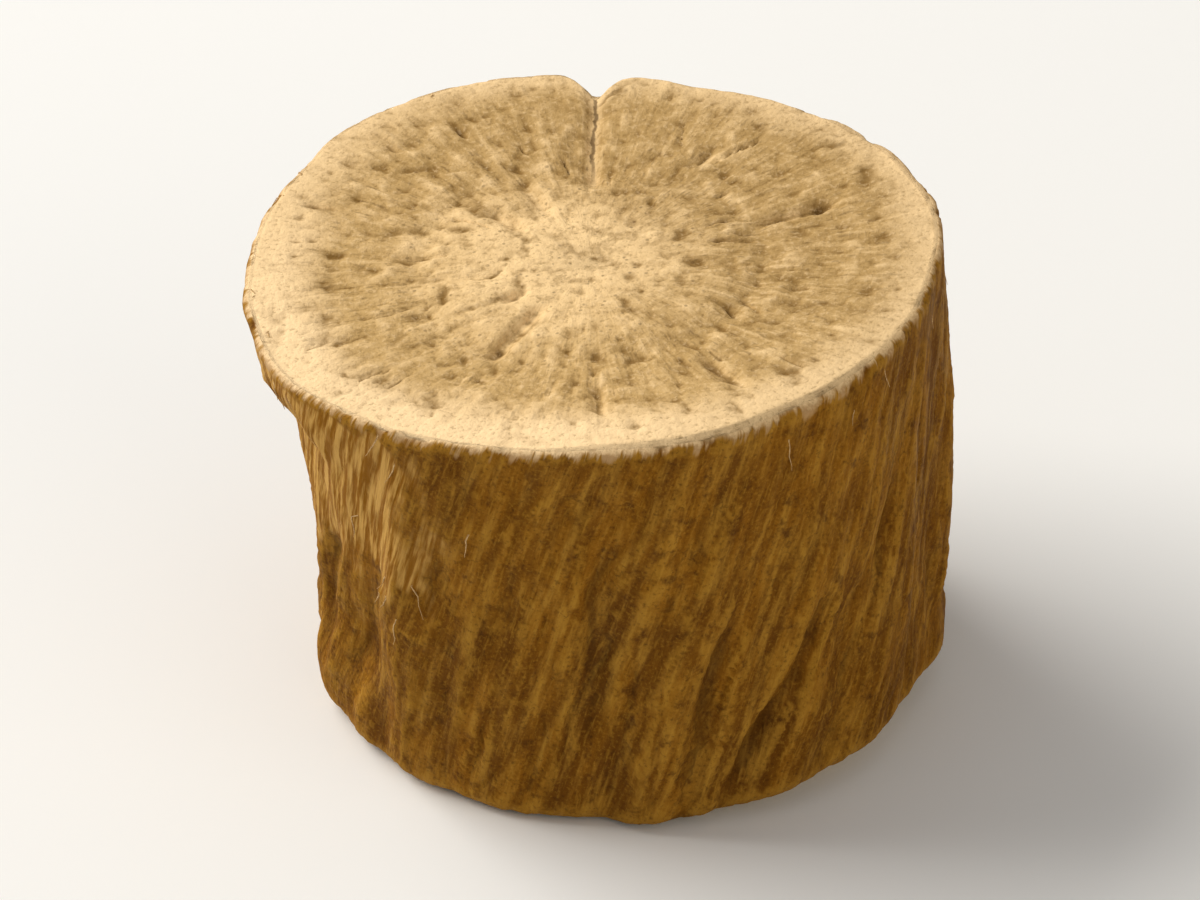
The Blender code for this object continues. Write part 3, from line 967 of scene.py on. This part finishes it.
def cut_group(colours, grain):
    """Colour, roughness and fine height of a cut face."""
    nodes, given, out = new_group("Cut finish", SURFACE | CUT_MARKS, FINISH)
    grain_place, place, near, far, radius_share, core_share = given[:6]
    from_edge, weathered, crack, crack_away, speckle = given[6:]
    rays = nodes.grained(grain, grain_place, 34.0, 3.2)["Lines"]
    clumps = nodes.noise(place, 0.24 * MM, 3.0, 0.66)
    fine = nodes.noise(place, 0.075 * MM, 2.0, 0.6)
    wide = nodes.noise(place, 1.5 * MM, 2.0, 0.5)
    wobble = nodes.times(nodes.minus(wide, 0.5), 0.22)
    ragged = nodes.plus(wobble, nodes.times(speckle, 0.035))
    rim_share = nodes.plus(radius_share, nodes.times(ragged, 0.7))
    # The rim is narrower and the cut darker towards one side of the face
    rim_share = nodes.minus(rim_share, nodes.span(weathered, 0.0, 0.8, 0.0, 0.11))
    core_share = nodes.plus(core_share, nodes.minus(wobble, nodes.times(speckle, 0.10)))

    # Pale rim and core with a darker band between them
    tan = nodes.mix(nodes.span(weathered, 0.0, 0.9, 0.0, 0.26), colours.cut_inner, colours.cut_shade)
    zone = nodes.mix(nodes.span(core_share, 0.56, 0.10), tan, colours.cut_core)
    rim = nodes.mix(nodes.span(weathered, 0.02, 0.35, 0.0, 0.32), colours.cut_rim, colours.cut_inner)
    zone = nodes.mix(nodes.span(rim_share, 0.68, 0.90), zone, rim)

    # Clumped fibres, which turn to rays away from the core
    radial = nodes.span(core_share, 0.20, 0.50, 0.05, 0.60)
    streaked = nodes.plus(clumps, nodes.times(nodes.minus(rays, clumps), radial))
    amount = nodes.span(rim_share, 0.92, 0.72, 0.30, 1.0)
    for specks, streaks_span, colour in (
        ((0.0, 0.9, 0.0, 0.65), (0.50, 0.66, 0.0, 0.40), colours.cut_core),
        ((-0.05, -0.75, 0.0, 0.75), (0.50, 0.34, 0.0, 0.40), colours.cut_shade),
    ):
        share = nodes.plus(nodes.span(speckle, *specks), nodes.span(streaked, *streaks_span))
        zone = nodes.mix(nodes.times(share, amount), zone, colour)
    # painted shade in the cut's near and far hollows, and a painted highlight: the crack is painted pale
    # along its length
    zone = nodes.layers(zone, (
        (near, 0.25, 1.3, 0.60, colours.cut_shade),
        (far, 0.35, 1.5, 0.70, colours.furrow),
        (crack, 0.45, 1.0, 0.50, colours.cut_core),
        (fine, 0.52, 0.72, 0.28, colours.cut_rim),
        (fine, 0.46, 0.28, 0.40, colours.cut_shade),
    ))

    # Slits and pores, and painted shade along the open crack
    slits = nodes.cells(nodes.shift(nodes.stretch(grain_place, 32.0, 9.0), place, 0.3 * MM, 0.9), 1.0)
    slits = nodes.times(nodes.span(slits, 0.32, 0.12), nodes.span(wide, 0.35, 0.60, 0.45, 1.0))
    slits = nodes.times(slits, nodes.times(amount, nodes.span(core_share, 0.25, 0.50)))
    pores = nodes.times(nodes.span(core_share, 0.62, 0.40), nodes.span(clumps, 0.42, 0.56, 0.2, 1.0))
    pores = nodes.times(nodes.span(nodes.cells(place, 0.15 * MM), 0.26, 0.10), pores)
    # painted shade: a thin dark line down the middle of the crack
    wobbled = nodes.plus(crack_away, nodes.span(clumps, 0.3, 0.7, -0.018, 0.018))
    gap = nodes.span(nodes.math("ABSOLUTE", wobbled), 0.040, 0.012)
    gap = nodes.times(gap, nodes.span(radius_share, 0.38, 0.60))
    holes_and_crack_shade = nodes.math("MAXIMUM", nodes.times(slits, 0.7), pores)
    holes_and_crack_shade = nodes.math("MAXIMUM", holes_and_crack_shade, nodes.times(gap, 1.5))
    zone = nodes.mix(nodes.times(holes_and_crack_shade, 0.44), zone, colours.furrow)
    edge = nodes.plus(from_edge, nodes.span(fine, 0.3, 0.7, -0.05, 0.05))
    height = nodes.plus(nodes.times(clumps, 0.8), nodes.times(rays, 0.6))
    nodes.feed(out, {
        "Color": nodes.mix(nodes.span(edge, -0.08, 0.15, 0.0, 0.70), zone, colours.bark_body),
        "Roughness": nodes.span(clumps, 0.3, 0.7, 0.92, 0.74),
        "Height": nodes.plus(height, nodes.times(fine, 1.1)),
    })
    return nodes.tree


def new_material(name):
    material = bpy.data.materials.new(name)
    material.use_nodes = True
    tree = material.node_tree
    return material, Nodes(tree), tree.nodes["Principled BSDF"].inputs


def root_material(colours, grain):
    """One material for the whole root: bark on its side, cut tissue on its ends."""
    material, nodes, shader = new_material("dried_astragalus_root")
    place = nodes.add("ShaderNodeTexCoord").outputs["Object"]
    grain_place = nodes.attribute("grain_place", "Vector")
    surface = {"Grain Place": grain_place, "Place": place} | nodes.marks(("Near Hollow", "Far Hollow"))
    cut_marks = nodes.marks(CUT_MARKS)
    bark = nodes.group(bark_group(colours, grain), surface)
    cut = nodes.group(cut_group(colours, grain), surface | cut_marks)
    lines = nodes.grained(grain, grain_place, 48.0, 0.9 / MM)["Lines"]
    ragged = nodes.plus(nodes.noise(place, 0.45 * MM, 2.0, 0.6), lines)
    edge = nodes.minus(cut_marks["From Edge"], nodes.span(ragged, 0.75, 1.30, -0.04, 0.24))
    is_bark = nodes.span(edge, -0.08, 0.09)
    bare = nodes.mix(nodes.span(lines, 0.40, 0.62), colours.bark_body, colours.inner_bark)
    # painted shade: hollows of the bared bark are painted darker
    bare = nodes.layers(bare, ((surface["Near Hollow"], 0.3, 1.4, 0.6, colours.bark_dark),))
    skin = nodes.mix(nodes.attribute("bared"), bark["Color"], bare)
    height = nodes.mix(is_bark, cut["Height"], bark["Height"])
    nodes.feed(shader, {
        "Base Color": nodes.mix(is_bark, cut["Color"], skin),
        "Roughness": nodes.mix(is_bark, cut["Roughness"], bark["Roughness"]),
        "Normal": nodes.relief(height, 0.9, 0.022 * MM),
        "Specular IOR Level": 0.07,
    })
    return material


def fibre_material(colours, grain):
    """Pale torn fibre with darker lines along it."""
    material, nodes, shader = new_material("torn_root_fibre")
    fibre = nodes.grained(grain, nodes.attribute("grain_place", "Vector"), 3.0, 9.0)
    nodes.feed(shader, {
        "Base Color": nodes.mix(nodes.span(fibre["Lines"], 0.35, 0.65), colours.bark_body, colours.fibre),
        "Roughness": nodes.span(fibre["Mottle"], 0.3, 0.7, 0.6, 0.85),
        "Normal": nodes.relief(fibre["Lines"], 0.5, 0.004 * MM),
    })
    return material


def floor_material(tint_of_floor):
    """Pale matt paper with a faint tooth."""
    material, nodes, shader = new_material("pale_floor")
    tooth = nodes.noise(nodes.add("ShaderNodeTexCoord").outputs["Object"], 0.35 * MM, 4.0, 0.6)
    nodes.feed(shader, {
        "Base Color": tint_of_floor,
        "Roughness": nodes.span(tooth, 0.3, 0.7, 0.80, 0.92),
        "Normal": nodes.relief(tooth, 0.15, 0.01 * MM),
    })
    return material


def grain_tree():
    """The one grain group that the materials share."""
    return bpy.data.node_groups.get("Stretched grain") or grain_group()


class ROOT_OT_chop(bpy.types.Operator):
    """Models the root chop over its solid and gives it bark and cut faces"""

    bl_idname = "root.chop"
    bl_label = "Root chop"

    def execute(self, context):
        shape, colours = context.scene.chop_shape, context.scene.chop_colours
        root = spin_drum(shape, CHOP)
        mesh = root.data
        places = Places(vertex_array(mesh), shape)
        points = place_root(places, shape)
        set_points(mesh, points)

        detail, speckle = np.zeros(len(points)), np.zeros(len(points))
        wall = places.on_wall
        detail[wall] = bark_detail(places.only(wall), shape)
        for seed, cut in enumerate((places.on_face, places.on_base)):
            part = places.only(cut)
            speckle[cut] = cut_speckle(part, shape, seed)
            detail[cut] = cut_detail(part, seed, speckle[cut])
        detail[places.on_base] = np.minimum(detail[places.on_base], 0.0)
        points += normals_of(mesh) * detail[:, None]
        points[:, 2] = np.maximum(points[:, 2], 0.0)
        set_points(mesh, points)
        store(mesh, speckle=speckle)
        self.mark(mesh, places, points, shape)
        lay_out(mesh, places, shape)
        set_points(mesh, fit_to_solid(points))

        mesh.materials.clear()
        mesh.materials.append(root_material(colours, grain_tree()))
        mesh.shade_smooth()
        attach(root, BODY)
        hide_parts(NODE)
        return {"FINISHED"}

    def mark(self, mesh, places, points, shape):
        """Stores what the material reads of each point's place."""
        bearing = places.bearing + crack_sway(places)
        crack = np.where(places.on_face, crack_relief(shape, bearing, places.share) / CRACK_DEPTH, 0.0)
        crack_away = turn_between(bearing, CRACK_BEARING) * places.radius / MM
        darker_side_away = np.abs(turn_between(places.bearing, DARKER_SIDE_BEARING))
        turned = places.bearing - np.where(places.on_wall, BARK_TURN * places.height, 0.0)
        along = np.where(places.on_wall, places.z, np.log(np.maximum(places.share, POLE_SHARE)))
        store(
            mesh,
            crack=crack,
            crack_away=np.where(places.on_face, crack_away, 1.0),
            # Painted shade for hollows and painted highlight for crests, both left out of the crack
            near_hollow=hollows(mesh, points, *NEAR_PAINTED_LIGHT) * (1.0 - crack),
            far_hollow=hollows(mesh, points, *FAR_PAINTED_SHADE) * (1.0 - crack),
            weathered=smooth_step(DARKER_SIDE_SPREAD, 0.0, darker_side_away),
            radius_share=places.share,
            core_share=np.linalg.norm(places.flat() - CORE_MIDDLE, axis=1) / shape.face_radius,
            from_edge=from_cut_edge(places, shape),
            bared=np.where(places.on_wall, bared(places, shape), 0.0),
            grain_place=polar(turned, 1.0, along),
        )


class ROOT_OT_fibres(bpy.types.Operator):
    """Adds the torn fibres on the cut edges and in the bark's bite"""

    bl_idname = "root.fibres"
    bl_label = "Torn fibres"

    def execute(self, context):
        shape, colours = context.scene.chop_shape, context.scene.chop_colours
        chop = bpy.data.objects[CHOP]
        surface = BVHTree.FromObject(chop, context.evaluated_depsgraph_get())
        first = self.first_fibre()
        draw = random.Random(FIBRE_SEED)
        made = []
        for number in range(shape.fibres):
            fibre = first.copy()
            fibre.data = first.data.copy()
            context.scene.collection.objects.link(fibre)
            self.bend(fibre.data, surface, shape, draw, number)
            made.append(fibre)
        bpy.data.objects.remove(first)
        bpy.ops.object.select_all(action="DESELECT")
        for fibre in made:
            fibre.select_set(True)
        context.view_layer.objects.active = made[0]
        bpy.ops.object.join()
        fibres = name_active("torn_fibres")
        fibres.data.materials.append(fibre_material(colours, grain_tree()))
        fibres.data.shade_smooth()
        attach(fibres, BODY)
        return {"FINISHED"}

    def first_fibre(self):
        """A straight tapered fibre of length 1 along +Z and radius 1, closed at both ends."""
        fibre = add_alone(
            "fibre", bpy.ops.mesh.primitive_circle_add, vertices=FIBRE_SIDES, radius=1.0, fill_type="NGON",
        )
        bpy.ops.object.mode_set(mode="EDIT")
        bpy.ops.mesh.select_all(action="SELECT")
        for _ in range(FIBRE_STEPS):
            step = {"value": (0.0, 0.0, 1.0 / FIBRE_STEPS)}
            bpy.ops.mesh.extrude_region_move(TRANSFORM_OT_translate=step)
        bpy.ops.mesh.select_all(action="SELECT")
        bpy.ops.mesh.normals_make_consistent(inside=False)
        bpy.ops.object.mode_set(mode="OBJECT")
        return fibre

    def bend(self, mesh, surface, shape, draw, number):
        """Lays one fibre over the surface, with its root sunk in and its tip free."""
        place, way = self.start(shape, draw, number)
        spans = FIBRE_REACH, FIBRE_THICK, FIBRE_LIFT
        reach, thick, lift = (draw.uniform(*span) * MM for span in spans)
        curl = draw.uniform(*FIBRE_CURL)
        points = vertex_array(mesh)
        share = points[:, 2]
        _, normal, _, _ = surface.find_nearest(place)
        side = way.cross(normal).normalized()
        middle = []
        for step in range(FIBRE_STEPS + 1):
            along = step / FIBRE_STEPS
            nearest, _, _, _ = surface.find_nearest(place + way * (reach * along))
            free = normal * (lift * along**2 - FIBRE_SUNK * thick)
            middle.append(nearest + free + side * (curl * along**2 * reach))
        level = np.rint(share * FIBRE_STEPS).astype(int)
        width = thick * (1.0 - FIBRE_TAPER * level / FIBRE_STEPS)
        out = np.array(middle)[level] + np.outer(points[:, 0] * width, normal)
        out = np.clip(out + np.outer(points[:, 1] * width, side), CAD_LOW, CAD_HIGH)
        set_points(mesh, out)
        store(mesh, grain_place=points + (0.0, 0.0, number))

    def start(self, shape, draw, number):
        """Where a fibre starts and which way it runs."""
        if number % 2:
            bearing = BARE_BEARING + draw.uniform(*FIBRE_SPREAD) * BARE_SPREAD
            height = draw.uniform(*FIBRE_HEIGHT)
        else:
            clear = RIM_FIBRE_CLEAR
            bearing = CRACK_BEARING + draw.uniform(clear, 2.0 * math.pi - clear)
            height = draw.uniform(*RIM_FIBRE_HEIGHT)
        outwards = Vector((math.cos(bearing), math.sin(bearing), 0.0))
        sideways = Vector((-math.sin(bearing), math.cos(bearing), 0.0))
        place = outwards * shape.face_radius
        place.z = height * shape.height
        way = Vector((0.0, 0.0, -1.0)) + sideways * draw.uniform(*FIBRE_SLANT)
        return place, way.normalized()


class ROOT_OT_stage(bpy.types.Operator):
    """Lays the pale floor and sets the camera and the lights"""

    bl_idname = "root.stage"
    bl_label = "Studio"

    def execute(self, context):
        studio = context.scene.chop_studio
        floor = add_alone("floor", bpy.ops.mesh.primitive_plane_add, size=FLOOR_SIZE)
        floor.data.materials.append(floor_material(studio.floor_colour))

        camera = bpy.data.cameras.new("camera")
        camera.lens = LENS
        camera.clip_end = CLIP_END
        distance = studio.view_width * camera.lens / camera.sensor_width
        tilt = studio.camera_height
        back = Vector((0.0, -math.cos(tilt), math.sin(tilt)))
        middle = Vector((CAD_LOW + CAD_HIGH) / 2.0)
        context.scene.camera = self.aim(context, camera, middle + back * distance, -back)

        self.lamp(context, "key", KEY_PLACE, KEY_SIZE, studio.key_power, KEY_TINT)
        self.lamp(context, "fill", FILL_PLACE, FILL_SIZE, studio.fill_power, FILL_TINT)
        world = bpy.data.worlds.new("soft_room")
        world.use_nodes = True
        room = world.node_tree.nodes["Background"].inputs
        room["Color"].default_value = ROOM_TINT
        room["Strength"].default_value = studio.room_light
        context.scene.world = world
        context.scene.view_settings.view_transform = "Standard"
        return {"FINISHED"}

    def lamp(self, context, name, where, size, power, colour):
        light = bpy.data.lights.new(name, "AREA")
        light.size = size
        light.energy = power
        light.color = colour
        self.aim(context, light, where, -Vector(where))

    def aim(self, context, data, where, ahead):
        """Puts a camera or a light there, facing that way."""
        made = bpy.data.objects.new(data.name, data)
        made.location = where
        made.rotation_euler = ahead.to_track_quat("-Z", "Y").to_euler()
        context.scene.collection.objects.link(made)
        return made


class ROOT_PT_panel(bpy.types.Panel):
    """Lists the root chop's pieces and settings"""

    bl_label = "Root chop"
    bl_idname = "ROOT_PT_panel"
    bl_space_type = "VIEW_3D"
    bl_region_type = "UI"
    bl_category = "Root chop"

    def draw(self, context):
        column = self.layout.column()
        for operator in OPERATORS:
            column.operator(operator.bl_idname)
        for group in (context.scene.chop_shape, context.scene.chop_colours, context.scene.chop_studio):
            for name in group.__annotations__:
                column.prop(group, name)


GROUPS = {"chop_shape": ChopShape, "chop_colours": ChopColours, "chop_studio": StudioSettings}
OPERATORS = (ROOT_OT_chop, ROOT_OT_fibres, ROOT_OT_stage)


def register():
    for made in (*GROUPS.values(), *OPERATORS, ROOT_PT_panel):
        bpy.utils.register_class(made)
    for name, group in GROUPS.items():
        setattr(bpy.types.Scene, name, PointerProperty(type=group))


def unregister():
    for name in GROUPS:
        delattr(bpy.types.Scene, name)
    for made in reversed((*GROUPS.values(), *OPERATORS, ROOT_PT_panel)):
        bpy.utils.unregister_class(made)


def main():
    register()
    bpy.ops.root.chop()
    bpy.ops.root.fibres()
    bpy.ops.root.stage()


if __name__ == "__main__":
    main()
